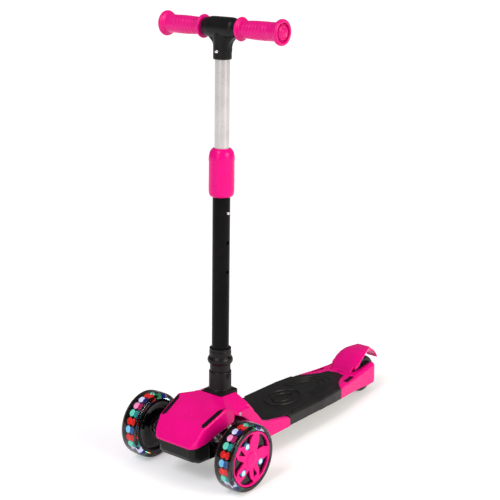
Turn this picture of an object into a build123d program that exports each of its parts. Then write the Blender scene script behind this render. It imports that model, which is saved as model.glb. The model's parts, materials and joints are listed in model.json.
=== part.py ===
from build123d import *
from math import cos, radians, sin
import os

# Child's three-wheeled kick scooter. Millimetres, +Z up, the rider faces -Y, the origin is on the
# ground under the middle of the whole scooter. Left is the rider's left, which is +X.

os.makedirs("parts", exist_ok=True)

# Driving dimensions
FRONT_AXLE_Y = -247.0        # front axle line, seen from the origin
FRONT_WHEEL_R = 60.0
FRONT_WHEEL_W = 36.8
FRONT_WHEEL_X = 108.5        # wheel mid-plane from the centre line
REAR_WHEEL_R = 38.0
REAR_WHEEL_W = 46.0
WHEELBASE = 488.0
AXLE_R = 4.0                 # M8 axles
BEARING_R = 11.0             # 608 bearings, 8 x 22 x 7
BEARING_W = 7.0
RUNNING = 0.05               # radial clearance of a running fit
GAP = 0.4                    # clearance between pieces that pass each other
WALL = 2.6                   # moulded covers and trays

COLUMN_RAKE = 1.2            # degrees the column leans back
COLUMN_Y = 65.25             # column axis behind the front axle, at the flange
FLANGE_Z = 125.0
BAR_Z = 766.6                # crossbar centre
OUTER_TUBE_R = 15.25
STEM_R = 12.7
BAR_R = 11.0
BAR_HALF = 129.4             # half the handlebar's length over the end plugs
BUTTON_Z = 456.0             # height button, and the first of the lock holes
HOLE_PITCH = 52.0
RELEASE_Z = 163.0            # button that frees the column from its socket
TEE_BUTTON_Z = 729.0

KINGPIN_X = 44.0
KINGPIN_Y = 14.0             # behind the front axle
KINGPIN_Z = 64.0
KINGPIN_LEAN = 38.0          # degrees the kingpins lean forward at the top
KINGPIN_R = 5.0
ARM = 30.0                   # steering arm, kingpin to tie rod pin
TIE_LEVEL = 6.4              # tie rod above the arms' mid-plane, along the kingpin

BRAKE_PIN_Y = 440.5
BRAKE_PIN_Z = 48.0
LIGHTS = 22                  # light beads round each front tread
SIDES = (("left", 1), ("right", -1))


def back(distance):
    """Y of a point that lies this far behind the front axle."""
    return FRONT_AXLE_Y + distance


def column(z):
    """Plane square to the leaning column at height z, its normal up the column."""
    lean = radians(COLUMN_RAKE)
    y = COLUMN_Y + (z - FLANGE_Z) * sin(lean) / cos(lean)
    return Plane(origin=(0, back(y), z), x_dir=(1, 0, 0), z_dir=(0, sin(lean), cos(lean)))


def sideways(x, y, z, side=1):
    """Plane with its normal along X, away from the centre line on the given side."""
    return Plane(origin=(x, y, z), x_dir=(0, 1, 0), z_dir=(side, 0, 0))


def turn(plane, points, mode=Mode.ADD):
    """Revolve an outline of (radius, height) points about the plane's normal."""
    half = Plane(origin=plane.origin, x_dir=plane.x_dir, z_dir=plane.x_dir.cross(plane.z_dir))
    with BuildSketch(half, mode=Mode.PRIVATE) as outline:
        with BuildLine():
            Polyline(*points, close=True)
        make_face()
    revolve(outline.sketch, axis=Axis(plane.origin, plane.z_dir), mode=mode)


def tube(plane, outer, inner, low, high, mode=Mode.ADD):
    """A plain ring or, with no inner radius, a disc, between two heights on the plane's normal."""
    turn(plane, [(inner, low), (outer, low), (outer, high), (inner, high)], mode)


def bar(plane, radius, low, high, mode=Mode.SUBTRACT):
    """A round hole or pin along the plane's normal."""
    with BuildSketch(plane.offset(low), mode=Mode.PRIVATE) as outline:
        Circle(radius)
    extrude(outline.sketch, amount=high - low, mode=mode)


def side_slab(points, x_low, x_high, mode=Mode.ADD):
    """A slab whose side view is the outline of (behind the axle, height) points."""
    with BuildSketch(Plane.YZ.offset(x_low), mode=Mode.PRIVATE) as outline:
        with BuildLine():
            Polyline(*[(back(y), z) for y, z in points], close=True)
        make_face()
    extrude(outline.sketch, amount=x_high - x_low, mode=mode)


def plan_slab(points, low, high, mode=Mode.ADD):
    """A slab whose plan is the outline of (x, behind the axle) points, mirrored across X = 0."""
    right = [(x, back(y)) for x, y in points]
    left = [(-x, y) for x, y in reversed(right) if x > 0]
    with BuildSketch(Plane.XY.offset(low), mode=Mode.PRIVATE) as outline:
        with BuildLine():
            Polyline(*right, *left, close=True)
        make_face()
    extrude(outline.sketch, amount=high - low, mode=mode)


def box(x, y, z, mode=Mode.ADD):
    """A block between two limits on each axis, with y behind the front axle."""
    with BuildSketch(Plane.XY.offset(z[0]), mode=Mode.PRIVATE) as outline:
        with Locations(((x[0] + x[1]) / 2, back((y[0] + y[1]) / 2))):
            Rectangle(x[1] - x[0], y[1] - y[0])
    extrude(outline.sketch, amount=z[1] - z[0], mode=mode)


def save(piece, name):
    """Label one finished sub-part and write it out."""
    piece.part.label = name
    export_step(piece.part, f"parts/{name}.step")


# ---------------------------------------------------------------- front wheels

TREAD_SEAT = 50.6            # radius where the tyre sits on the core
RIM_R = 48.8
TYRE_INNER_R = 49.5          # where the tyre meets the rim cover's edge
COVER_BACK = 13.0            # rim cover's inner face, out from the wheel's mid-plane
COVER_FACE = 17.4
WINDOWS = (36, 108, 180, 252, 324)       # degrees of the five large windows in the rim cover
SMALL_WINDOWS = (144, 216, 288)
RIM_LIGHTS = (112, 222, 332)
RIM_LIGHT_R = 28.0
LENS_R = 4.3                 # rim light lens
CHANNEL = 10.4               # half the channel for the light beads inside the tread
LIGHT_ARC = 12               # degrees of tread that one light bead takes up
OUTER_BEARING = 3.5
INNER_BEARING = -14.5

half_w = FRONT_WHEEL_W / 2


def rim_point(radius, angle):
    """A point of the rim cover's plan, by radius and degrees from straight back."""
    return (radius * cos(radians(angle)), radius * sin(radians(angle)))


def window(plane, corners, depth):
    """Cut one window with these (radius, angle) corners through the rim cover."""
    with BuildSketch(plane, mode=Mode.PRIVATE) as outline:
        with BuildLine():
            Polyline(*[rim_point(r, a) for r, a in corners], close=True)
        make_face()
    extrude(outline.sketch, amount=depth, mode=Mode.SUBTRACT)


for name, side in SIDES:
    centre = sideways(side * FRONT_WHEEL_X, FRONT_AXLE_Y, FRONT_WHEEL_R, side)

    with BuildPart() as core:
        turn(centre, [
            (BEARING_R + 3.5, -15), (BEARING_R + 3.5, 9.5), (43, 9.5), (43, -15.5),
            (TREAD_SEAT - 0.6, -17), (TREAD_SEAT - 0.6, 16.8), (RIM_R + 0.4, 16.8),
            (RIM_R + 0.4, 12.6), (9, 12.6), (9, 10.6), (BEARING_R, 10.6), (BEARING_R, 3.4),
            (9, 3.4), (9, -7.4), (BEARING_R, -7.4), (BEARING_R, -15),
        ])
        for angle in RIM_LIGHTS:
            y, z = rim_point(RIM_LIGHT_R, angle)
            bar(Plane(centre.origin + centre.x_dir * y + centre.y_dir * z, centre.x_dir, centre.z_dir),
                LENS_R + 0.1, 9, 13)
    save(core, f"wheel_core_{name}")

    with BuildPart() as tyre:
        crown = [(TREAD_SEAT, -half_w + 1), (57, -half_w), (59.2, -half_w + 3.6), (FRONT_WHEEL_R, -8),
                 (FRONT_WHEEL_R, 8), (59.2, half_w - 3.6), (57, half_w), (TYRE_INNER_R, half_w - 0.2),
                 (TYRE_INNER_R, 17), (TREAD_SEAT, 17), (TREAD_SEAT, CHANNEL), (54.6, CHANNEL),
                 (54.6, -CHANNEL), (TREAD_SEAT, -CHANNEL)]
        turn(centre, crown)
    save(tyre, f"wheel_tyre_{name}")

    with BuildPart() as lights:
        half = Plane(centre.origin, centre.x_dir, centre.x_dir.cross(centre.z_dir))
        for bead in range(LIGHTS):
            with BuildSketch(half, mode=Mode.PRIVATE) as outline:
                with Locations((52.2, 0)):
                    Rectangle(3.0, 18.0)
            turned = outline.sketch.rotate(Axis(centre.origin, centre.z_dir), bead * 360 / LIGHTS)
            revolve(turned, axis=Axis(centre.origin, centre.z_dir), revolution_arc=LIGHT_ARC)
    save(lights, f"tread_lights_{name}")

    with BuildPart() as cover:
        turn(centre, [
            (0, COVER_BACK + 2.6), (10, COVER_BACK + 2.6), (10, COVER_BACK), (RIM_R, COVER_BACK),
            (RIM_R, 16.6), (RIM_R - 1, COVER_FACE), (RIM_R - 4, COVER_FACE), (36, 16.4),
            (14, 16.4), (10, COVER_FACE + 0.5), (0, COVER_FACE + 0.5),
        ])
        for angle in WINDOWS:
            window(centre.offset(COVER_BACK - 1), [
                (19, angle), (36, angle - 16), (44.5, angle - 26), (45.5, angle - 13), (45.5, angle),
                (45.5, angle + 13), (44.5, angle + 26), (36, angle + 16)], 8)
        for angle in SMALL_WINDOWS:
            window(centre.offset(COVER_BACK - 1), [(18, angle), (37, angle - 8), (37, angle + 8)], 8)
        for angle in RIM_LIGHTS:
            y, z = rim_point(RIM_LIGHT_R, angle)
            bar(Plane(centre.origin + centre.x_dir * y + centre.y_dir * z, centre.x_dir, centre.z_dir),
                LENS_R + 0.4, 9, 20)
    save(cover, f"wheel_cover_{name}")

    with BuildPart() as glow:
        for angle in RIM_LIGHTS:
            y, z = rim_point(RIM_LIGHT_R, angle)
            seat = Plane(centre.origin + centre.x_dir * y + centre.y_dir * z, centre.x_dir, centre.z_dir)
            turn(seat, [(0, 10), (LENS_R, 10), (LENS_R, 15), (LENS_R - 1.2, 16.6), (0, 17.2)])
    save(glow, f"rim_lights_{name}")

    with BuildPart() as dish:
        turn(centre, [
            (BEARING_R + 3.5, -15), (17, -12.6), (30, -12), (41, -14), (43, -15.4), (43, -13.6),
            (41, -12.3), (30, -10.3), (17, -10.9), (BEARING_R + 3.5, -10.9),
        ])
    save(dish, f"hub_dish_{name}")

    with BuildPart() as bearings:
        for low in (INNER_BEARING, OUTER_BEARING):
            tube(centre, BEARING_R, AXLE_R + RUNNING, low, low + BEARING_W)
    save(bearings, f"wheel_bearings_{name}")

    with BuildPart() as coil:
        tube(centre, 21, BEARING_R + 3.6, -6, 5)
    save(coil, f"light_coil_{name}")

    with BuildPart() as magnet:
        tube(centre, 8.4, AXLE_R, INNER_BEARING + BEARING_W + GAP, OUTER_BEARING - GAP)
    save(magnet, f"magnet_sleeve_{name}")

    with BuildPart() as axle:
        turn(centre, [(0, -50), (AXLE_R, -50), (AXLE_R, 10.9), (6.4, 10.9), (6.4, 14.2), (0, 14.2)])
    save(axle, f"front_axle_{name}")

# ------------------------------------------------- lean-to-steer knuckles and tie rod

lean = radians(KINGPIN_LEAN)
PIN_DIR = Vector(0, -sin(lean), cos(lean))
ARM_DIR = Vector(0, cos(lean), sin(lean))


def kingpin(x, up=0.0, rearward=0.0):
    """Plane square to the kingpins at x, moved up the kingpin or rearward along the arm."""
    origin = Vector(x, back(KINGPIN_Y), KINGPIN_Z) + PIN_DIR * up + ARM_DIR * rearward
    return Plane(origin=origin, x_dir=(1, 0, 0), z_dir=PIN_DIR)


BARREL = 12.0                # half the knuckle barrel's length
INNER_FACE = FRONT_WHEEL_X - FRONT_WHEEL_W / 2 - 2.4

for name, side in SIDES:
    pin = kingpin(side * KINGPIN_X)
    with BuildPart() as knuckle:
        tube(pin, 9.0, 0, -BARREL, BARREL)
        with BuildSketch(sideways(side * (KINGPIN_X + 2), back(KINGPIN_Y), KINGPIN_Z, side)):
            RectangleRounded(15, 17, 3)
        with BuildSketch(sideways(side * (INNER_FACE - 4), FRONT_AXLE_Y, FRONT_WHEEL_R, side)):
            RectangleRounded(23, 23, 8)
        loft()
        bar(sideways(side * (INNER_FACE - 4), FRONT_AXLE_Y, FRONT_WHEEL_R, side), 12.5, 0, 4, Mode.ADD)
        bar(sideways(side * INNER_FACE, FRONT_AXLE_Y, FRONT_WHEEL_R, side), 7, 0, 1.4, Mode.ADD)
        with BuildSketch(pin.offset(-3)):
            with Locations((0, ARM / 2)):
                Rectangle(11, ARM)
            with Locations((0, ARM)):
                Circle(6)
        extrude(amount=6)
        bar(pin, KINGPIN_R + RUNNING, -BARREL - 1, BARREL + 1)
        bar(sideways(side * FRONT_WHEEL_X, FRONT_AXLE_Y, FRONT_WHEEL_R, side), AXLE_R, -50, 0)
        bar(kingpin(side * KINGPIN_X, 0, ARM), 3.0, 2, TIE_LEVEL + 4.2, Mode.ADD)
    save(knuckle, f"knuckle_{name}")

with BuildPart() as tie_rod:
    level = kingpin(0, TIE_LEVEL - 2.5, ARM)
    with BuildSketch(level):
        Rectangle(2 * KINGPIN_X, 7)
        with Locations((KINGPIN_X, 0), (-KINGPIN_X, 0)):
            Circle(6.5)
    extrude(amount=5)
    bar(kingpin(KINGPIN_X, 0, ARM), 3.0 + RUNNING, 0, 20)
    bar(kingpin(-KINGPIN_X, 0, ARM), 3.4, 0, 20)
save(tie_rod, "tie_rod")

with BuildPart() as kingpins:
    for name, side in SIDES:
        pin = kingpin(side * KINGPIN_X)
        turn(pin, [(0, -18), (KINGPIN_R, -18), (KINGPIN_R, 25.6), (7, 25.6), (7, 28), (6, 29), (0, 29)])
save(kingpins, "kingpins")

PLATE = 4.0                  # bridge plates above and below the barrels
BRIDGE_HALF = 26.4           # half the notch for the bridge in the tray and the deck
BRIDGE_END = 124.0
BRIDGE_BOLTS = [(x, y) for x in (-19, 19) for y in (106, 118)]
with BuildPart() as bridge:
    for low in (BARREL + GAP, -BARREL - GAP - PLATE):
        with BuildSketch(kingpin(0, low)):
            SlotCenterToCenter(2 * KINGPIN_X, 18)
        extrude(amount=PLATE)
    with BuildSketch(kingpin(0, -BARREL - GAP)):
        Rectangle(62, 18)
    extrude(amount=2 * (BARREL + GAP))
    side_slab([(12, 56), (34, 46), (98, 44), (98, 56.6), (92, 60), (90, 95.7), (43, 95.7),
               (47, 84), (52, 66), (30, 66)], -13, 13)
    box((-26, 26), (88, BRIDGE_END), (50, 56.6))
    for x, y in BRIDGE_BOLTS:
        bar(Plane((x, back(y), 0)), 2.5, 40, 60)
    bar(column(FLANGE_Z), 3, -50, 0)
    for name, side in SIDES:
        bar(kingpin(side * KINGPIN_X), KINGPIN_R, -30, 30)
save(bridge, "steering_bridge")

# ---------------------------------------------------------------- steering column

SLEEVE_TOP = 170.5
FOOT_HOLE_Z = 198.0          # blind hole in the foot collar
TUBE_FOOT = 104.0
TUBE_TOP = 541.0
STEM_FOOT = 414.0
STEM_TOP = 748.0
TUBE_WALL = 1.7

with BuildPart() as socket:
    foot = column(FLANGE_Z)
    tube(foot, 18, 0, -28.5, 0)
    with BuildSketch(foot):
        RectangleRounded(45, 46, 3)
    extrude(amount=9)
    with BuildSketch(foot.offset(9)):
        RectangleRounded(45, 46, 3)
    with BuildSketch(foot.offset(13)):
        Circle(20.5)
    loft()
    sleeve = SLEEVE_TOP - FLANGE_Z
    turn(foot, [(0, 12), (20, 12), (20, sleeve - 1.5), (19, sleeve), (0, sleeve)])
    bar(foot, OUTER_TUBE_R + 0.1, TUBE_FOOT - FLANGE_Z, 60)
    bar(foot, 3, -40, 0)
    bar(foot, 6.6, -25, 0)
    bar(sideways(0, column(RELEASE_Z).origin.Y, RELEASE_Z), 4.4, 8, 30)
save(socket, "steering_socket")

with BuildPart() as tube_outer:
    low, high = TUBE_FOOT - FLANGE_Z, TUBE_TOP - FLANGE_Z
    tube(column(FLANGE_Z), OUTER_TUBE_R, OUTER_TUBE_R - TUBE_WALL, low, high)
    for step in range(3):
        z = BUTTON_Z - step * HOLE_PITCH
        bar(sideways(0, column(z).origin.Y, z), 3.3, 8, 30)
    bar(sideways(0, column(RELEASE_Z).origin.Y, RELEASE_Z), 4.4, 8, 30)
save(tube_outer, "outer_tube")

with BuildPart() as foot_collar:
    base = column(SLEEVE_TOP)
    turn(base, [
        (OUTER_TUBE_R, 0.3), (18.4, 0.3), (18.4, 13), (19.5, 13.6), (21.6, 15.4), (22.6, 18), (22.6, 22.5),
        (21.6, 25), (19.6, 26.8), (19.6, 40.5), (18.6, 42.5), (OUTER_TUBE_R, 42.5)])
    bar(sideways(0, column(FOOT_HOLE_Z).origin.Y, FOOT_HOLE_Z), 2.2, 16.5, 30)
save(foot_collar, "foot_collar")

COLLAR_FOOT = 484.0
with BuildPart() as collar:
    base = column(COLLAR_FOOT)
    turn(base, [
        (OUTER_TUBE_R, 0), (18, 0), (20.6, 1.6), (22, 5), (22.2, 12), (21.6, 22), (21.4, 40), (21.9, 58),
        (22.2, 66), (21.4, 74), (19.4, 79.4), (16.6, 82.4), (14, 83), (13.1, 83), (13.1, 57.6),
        (OUTER_TUBE_R, 57.6)])
save(collar, "clamp_collar")

with BuildPart() as bush:
    tube(column(COLLAR_FOOT), OUTER_TUBE_R - TUBE_WALL, STEM_R + RUNNING, 17, 57)
save(bush, "stem_bush")

with BuildPart() as stem:
    low, high = STEM_FOOT - FLANGE_Z, STEM_TOP - FLANGE_Z
    tube(column(FLANGE_Z), STEM_R, STEM_R - 1.4, low, high)
    bar(sideways(0, column(BUTTON_Z).origin.Y, BUTTON_Z), 3.2, 8, 30)
    bar(column(TEE_BUTTON_Z).rotated((90, 0, 0)), 3.6, 8, 30)
save(stem, "stem_tube")

TEE_FOOT = 715.0
BAR_Y = column(BAR_Z).origin.Y
bar_plane = sideways(0, BAR_Y, BAR_Z)
with BuildPart() as tee:
    turn(column(TEE_FOOT), [(0, 0), (15.2, 0), (15.7, 1), (15.7, 26), (17.2, 38), (17.2, 51), (0, 51)])
    for side in (1, -1):
        turn(sideways(0, BAR_Y, BAR_Z, side), [
            (0, 0), (18, 0), (18, 19), (17.2, 24), (15.8, 27.5), (15.4, 30), (15.4, 34.5), (14.6, 35.5),
            (0, 35.5)])
    bar(bar_plane, BAR_R + 0.05, -40, 40)
    bar(column(TEE_FOOT), STEM_R + 0.05, -1, 34)
    bar(column(TEE_BUTTON_Z).rotated((90, 0, 0)), 3.8, 8, 30)
save(tee, "t_joint")

with BuildPart() as cross:
    tube(bar_plane, BAR_R, BAR_R - 1.4, -118, 118)
save(cross, "cross_tube")

GRIP_START = 38.2
for name, side in SIDES:
    with BuildPart() as grip:
        outline = [(BAR_R + 0.05, GRIP_START), (19.2, GRIP_START), (20, GRIP_START + 0.8), (20, 41.4),
                   (19, 42.4), (14.2, 43.4)]
        for rib in range(9):
            start = 47 + rib * 7.6
            swell = 14.4 + 0.28 * rib
            outline += [(swell - 0.7, start), (swell, start + 1.3), (swell, start + 5)]
            outline += [(swell - 0.7, start + 6.3)]
        outline += [(16.6, 119), (20.4, 120.6), (21.5, 122), (21.5, 125), (20.4, 126.6), (16, 127),
                    (14.6, 124), (BAR_R + 0.05, 124)]
        turn(sideways(0, BAR_Y, BAR_Z, side), outline)
    save(grip, f"grip_{name}")

with BuildPart() as plugs:
    for name, side in SIDES:
        turn(sideways(0, BAR_Y, BAR_Z, side), [
            (0, 106), (BAR_R - 1.5, 106), (BAR_R - 1.5, 118.3), (BAR_R - 0.4, 118.3), (BAR_R - 0.4, 127),
            (9, BAR_HALF), (0, BAR_HALF)])
save(plugs, "grip_plugs")

# Snap buttons: a headed pin that stands out through its holes, and the leaf spring behind it
BUTTONS = (
    ("height", sideways(0, column(BUTTON_Z).origin.Y, BUTTON_Z), 3.0, 17.4, STEM_R - 1.4),
    ("release", sideways(0, column(RELEASE_Z).origin.Y, RELEASE_Z), 4.1, 22.2, OUTER_TUBE_R - TUBE_WALL),
    ("tee", column(TEE_BUTTON_Z).rotated((90, 0, 0)), 3.4, 17.4, STEM_R - 1.4),
)
for name, out, radius, tip, bore in BUTTONS:
    shoulder = bore - 1.8
    with BuildPart() as button:
        turn(out, [(0, shoulder - 1.2), (radius + 1.2, shoulder - 1.2), (radius + 1.2, shoulder),
                   (radius, shoulder), (radius, tip - 1.2), (radius - 1.1, tip - 0.2), (0, tip)])
    save(button, f"{name}_button")
    with BuildPart() as spring:
        front = shoulder - 1.6
        rear = 1.2 - bore
        with BuildSketch(Plane(out.origin, out.z_dir, out.z_dir.cross(Vector(0, 0, 1)))):
            with BuildLine():
                Polyline((front, 4), (front - 0.8, 4), (front - 0.8, -16), (rear + 0.8, -16), (rear + 0.8, 2),
                         (rear, 2), (rear, -16.8), (front, -16.8), close=True)
            make_face()
        extrude(amount=3, both=True)
    save(spring, f"{name}_spring")

# ---------------------------------------------------------------- hood and tray over the steering

# Hood cross-sections: behind the axle, half width, bottom, side top, half the flat top, top, corner radius
HOOD = [(-59.5, 36, 40, 73.5, 33, 76, 1.5), (-56, 43, 40, 78, 39, 81, 2.5),
        (-50, 48, 40, 85.5, 45.8, 88, 2), (-35, 52, 40, 104.2, 49.6, 107, 2),
        (12, 57, 40, 122.5, 54.8, 125.5, 2), (18, 57.5, 40, 124.5, 55, 127.5, 2),
        (42, 57.5, 40, 115.7, 25, 133, 3), (78, 54, 40, 117.5, 25, 131, 4),
        (96, 53, 40, 98, 30, 112, 4)]
HOOD_EDGE = [(-70, 30), (-70, 71), (-58, 72), (-30, 78), (1, 89), (36, 97), (38, 110), (62, 110), (70, 90),
             (86, 72), (120, 62), (120, 30)]
ARM_SIDE = [(38, 109), (44, 114), (74, 113.5), (80, 107), (95, 92), (109, 75), (131, 67), (156, 62.5),
            (184, 57), (191, 50), (191, 36), (112, 37), (98, 46), (86, 68), (72, 88), (55, 101.5), (41, 108)]
ARM_X = (53.6, 62.4)
SOCKET_HOLE = 48.0
SCREW_Y = 45.5               # screw through each arm's root
SCREW_Z = 110.0
SLOT = [(-36, 46.6), (-30, 43.6), (6, 48.4), (14, 52.6), (2, 52.6), (-32, 49.2)]


def profile(y, points, rounded, radius):
    """A closed cross-section whose highest few corners are rounded."""
    with BuildSketch(Plane.XZ.offset(-back(y)), mode=Mode.PRIVATE) as section:
        with BuildLine():
            Polyline(*points, close=True)
        make_face()
        fillet(section.vertices().sort_by(Axis.Y)[-rounded:], radius)
    return section.sketch


def gabled(sections, inset=0.0, drop=0.0, mode=Mode.ADD):
    """A form lofted through roofed cross-sections, moved inwards by the inset, its bottom dropped."""
    outlines = []
    for index, (y, half, bottom, side, flat, top, radius) in enumerate(sections):
        shift = inset if index == 0 else -inset if index == len(sections) - 1 else 0
        wide = half - inset
        level = flat - inset / 2
        points = [(-wide, bottom - drop), (wide, bottom - drop), (wide, side - inset), (level, top - inset),
                  (-level, top - inset), (-wide, side - inset)]
        outlines.append(profile(y + shift, points, 4, radius))
    loft(sections=outlines, ruled=True, mode=mode)


def body(sections, inset=0.0, drop=0.0, mode=Mode.ADD):
    """A form lofted through flat-topped cross-sections, moved inwards by the inset, its bottom dropped."""
    outlines = []
    for index, (y, half, bottom, top, radius) in enumerate(sections):
        shift = inset if index == 0 else -inset if index == len(sections) - 1 else 0
        wide = half - inset
        points = [(-wide, bottom - drop), (wide, bottom - drop), (wide, top - inset), (-wide, top - inset)]
        outlines.append(profile(y + shift, points, 2, radius - inset / 2))
    loft(sections=outlines, ruled=True, mode=mode)


with BuildPart() as hood:
    gabled(HOOD)
    gabled(HOOD, WALL, 4, Mode.SUBTRACT)
    side_slab(HOOD_EDGE, -80, 80, Mode.SUBTRACT)
    for name, side in SIDES:
        inner, outer = sorted((side * ARM_X[0], side * ARM_X[1]))
        side_slab(ARM_SIDE, inner, outer)
        with BuildSketch(Plane.XY.offset(90), mode=Mode.PRIVATE) as slot:
            with BuildLine():
                Polyline(*[(side * x, back(y)) for y, x in SLOT], close=True)
            make_face()
        extrude(slot.sketch, amount=60, mode=Mode.SUBTRACT)
        bar(sideways(0, back(SCREW_Y), SCREW_Z, side), 1.7, 50, 70)
    with BuildSketch(column(100)):
        RectangleRounded(SOCKET_HOLE, SOCKET_HOLE, 3.4)
    extrude(amount=50, mode=Mode.SUBTRACT)
save(hood, "nose_cover")

# Tray cross-sections: behind the axle, half width, bottom, top, corner radius
TRAY = [(-55, 33, 53, 84, 8), (-50, 41, 44.5, 92, 9), (-38, 46, 39.5, 100, 9), (12, 50.5, 38.4, 110, 9),
        (98, 51, 36.5, 110, 9)]
TRAY_EDGE = [(-70, 130), (-70, 71.5), (-58, 71.5), (-30, 76), (1, 86.5), (36, 94.5), (52, 94.5), (60, 84),
             (104, 55), (104, 130)]
GATE_Y = (-18, 50)           # side openings that the knuckles work through
GATE_Z = (43.2, 100)


def tub(sections, inset=0.0, mode=Mode.ADD):
    """A form lofted through cross-sections rounded all round, moved inwards by the inset."""
    outlines = []
    for index, (y, half, bottom, top, radius) in enumerate(sections):
        shift = inset if index == 0 else -inset if index == len(sections) - 1 else 0
        with BuildSketch(Plane.XZ.offset(-back(y + shift)), mode=Mode.PRIVATE) as section:
            with Locations((0, (top + bottom) / 2)):
                RectangleRounded(2 * (half - inset), top - bottom - 2 * inset, radius - inset / 2)
        outlines.append(section.sketch)
    loft(sections=outlines, ruled=True, mode=mode)


with BuildPart() as tray:
    tub(TRAY)
    tub(TRAY, WALL, Mode.SUBTRACT)
    side_slab(TRAY_EDGE, -80, 80, Mode.SUBTRACT)
    box((-80, 80), GATE_Y, GATE_Z, Mode.SUBTRACT)
    box((-BRIDGE_HALF, BRIDGE_HALF), (90, 104), (41, 100), Mode.SUBTRACT)
save(tray, "nose_tray")

# ---------------------------------------------------------------- deck and tail cover

DECK = [(99, 60, 36.5, 61, 7), (300, 60, 35, 58.5, 7), (340, 57, 32.5, 57.5, 7), (375, 52, 30, 56.5, 7),
        (415, 46, 26.5, 55.5, 7), (450, 41, 23, 56, 7), (484, 38, 18.5, 58.5, 7), (505, 36.5, 18.5, 60.5, 7),
        (510, 34.5, 21, 59, 7)]
BLACK_TOP = [(0, 426), (20, 420.5), (24.5, 402), (36, 380), (48, 366), (80, 360), (80, 290), (0, 290)]
BLACK_DECK = [(0, 425.6), (19.7, 420.1), (24.2, 401.9), (35.7, 379.8), (47.8, 365.6), (80, 359.6),
              (80, 90), (0, 90)]
TAIL_SLOT = 26.0             # half the gap that the rear wheel runs in
TAIL_SLOT_START = 444.0
SKIN = 2.6
CABLE_SLOT = ((41.5, 393), (35.5, 427))
ARM_REST = 191.5             # where the hood's arms end along the deck
RIB = 3.0
FOOT_HALF = 23.2             # recess that the fender's foot swings in
FOOT_START = 433.0
REAR_AXLE_Y = FRONT_AXLE_Y + WHEELBASE
AXLE_SEAT = 32.0             # faces that the rear axle's head and nut bear on

with BuildPart() as tail:
    body(DECK)
    body(DECK, SKIN, 8, Mode.SUBTRACT)
    plan_slab(BLACK_TOP, 0, 90, Mode.SUBTRACT)
    box((-80, 80), (90, 300), (0, 90), Mode.SUBTRACT)
    box((-80, 80), (300, 520), (0, 17), Mode.SUBTRACT)
    box((-TAIL_SLOT, TAIL_SLOT), (TAIL_SLOT_START, 520), (0, 90), Mode.SUBTRACT)
    box((-FOOT_HALF, FOOT_HALF), (FOOT_START, 520), (0, 90), Mode.SUBTRACT)
    for name, side in SIDES:
        with BuildSketch(Plane.XY.offset(45), mode=Mode.PRIVATE) as slot:
            with BuildLine():
                Line(*[(side * x, back(y)) for x, y in CABLE_SLOT])
            trace(line_width=9)
        extrude(slot.sketch, amount=30, mode=Mode.SUBTRACT)
save(tail, "rear_cover")

with BuildPart() as cavity:
    body(DECK, 4.0, 12)
    box((-80, 80), (0, 118), (0, 90), Mode.SUBTRACT)
    box((-80, 80), (430, 520), (0, 90), Mode.SUBTRACT)
    box((-RIB / 2, RIB / 2), (100, 440), (0, 90), Mode.SUBTRACT)
    for y in range(165, 430, 44):
        box((-80, 80), (y, y + RIB), (0, 90), Mode.SUBTRACT)
with BuildPart() as front_deck:
    body(DECK)
    plan_slab(BLACK_DECK, 0, 90, Mode.INTERSECT)
with BuildPart() as deck:
    body(DECK, SKIN + 0.1)
    box((-80, 80), (0, 300), (0, 90), Mode.SUBTRACT)
    add(front_deck.part)
    add(cavity.part, mode=Mode.SUBTRACT)
    box((-TAIL_SLOT, TAIL_SLOT), (TAIL_SLOT_START + 6, 520), (0, 90), Mode.SUBTRACT)
    box((-FOOT_HALF, FOOT_HALF), (FOOT_START, 520), (42, 90), Mode.SUBTRACT)
    box((-BRIDGE_HALF, BRIDGE_HALF), (98, BRIDGE_END + 0.5), (30, 56.6), Mode.SUBTRACT)
    for x, y in BRIDGE_BOLTS:
        bar(Plane((x, back(y), 0)), 2.5, 50, 59)
    for name, side in SIDES:
        inner, outer = sorted((side * (ARM_X[0] - 0.3), side * 70))
        box((inner, outer), (90, ARM_REST), (0, 90), Mode.SUBTRACT)
        bar(sideways(0, REAR_AXLE_Y, REAR_WHEEL_R, side), AXLE_R, 20, 60)
        bar(sideways(0, REAR_AXLE_Y, REAR_WHEEL_R, side), 7.4, AXLE_SEAT, 60)
        bar(sideways(0, back(BRAKE_PIN_Y), BRAKE_PIN_Z, side), 2.5, 20, 34)
save(deck, "deck")

# ---------------------------------------------------------------- rear wheel

hub = sideways(0, REAR_AXLE_Y, REAR_WHEEL_R)
half_rear = REAR_WHEEL_W / 2
with BuildPart() as rear_core:
    turn(hub, [(9, -half_rear + 8), (BEARING_R, -half_rear + 8), (BEARING_R, -half_rear + 1),
               (24, -half_rear + 1), (26, -half_rear + 3), (26, half_rear - 3), (24, half_rear - 1),
               (BEARING_R, half_rear - 1), (BEARING_R, half_rear - 8), (9, half_rear - 8)])
save(rear_core, "rear_wheel_core")
with BuildPart() as rear_tyre:
    turn(hub, [(26.05, -half_rear + 3), (28, -half_rear), (34, -half_rear), (36.6, -half_rear + 3),
               (37.7, -half_rear + 8), (REAR_WHEEL_R, 0), (37.7, half_rear - 8), (36.6, half_rear - 3),
               (34, half_rear), (28, half_rear), (26.05, half_rear - 3)])
save(rear_tyre, "rear_tyre")
with BuildPart() as rear_bearings:
    for low in (-half_rear + 1, half_rear - 8):
        tube(hub, BEARING_R, AXLE_R + RUNNING, low, low + BEARING_W)
save(rear_bearings, "rear_bearings")
with BuildPart() as rear_spacers:
    tube(hub, 6, AXLE_R, -half_rear + 8 + GAP, half_rear - 8 - GAP)
    for name, side in SIDES:
        tube(sideways(0, REAR_AXLE_Y, REAR_WHEEL_R, side), 6, AXLE_R, half_rear - 1 + GAP, TAIL_SLOT)
save(rear_spacers, "rear_spacers")
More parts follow.
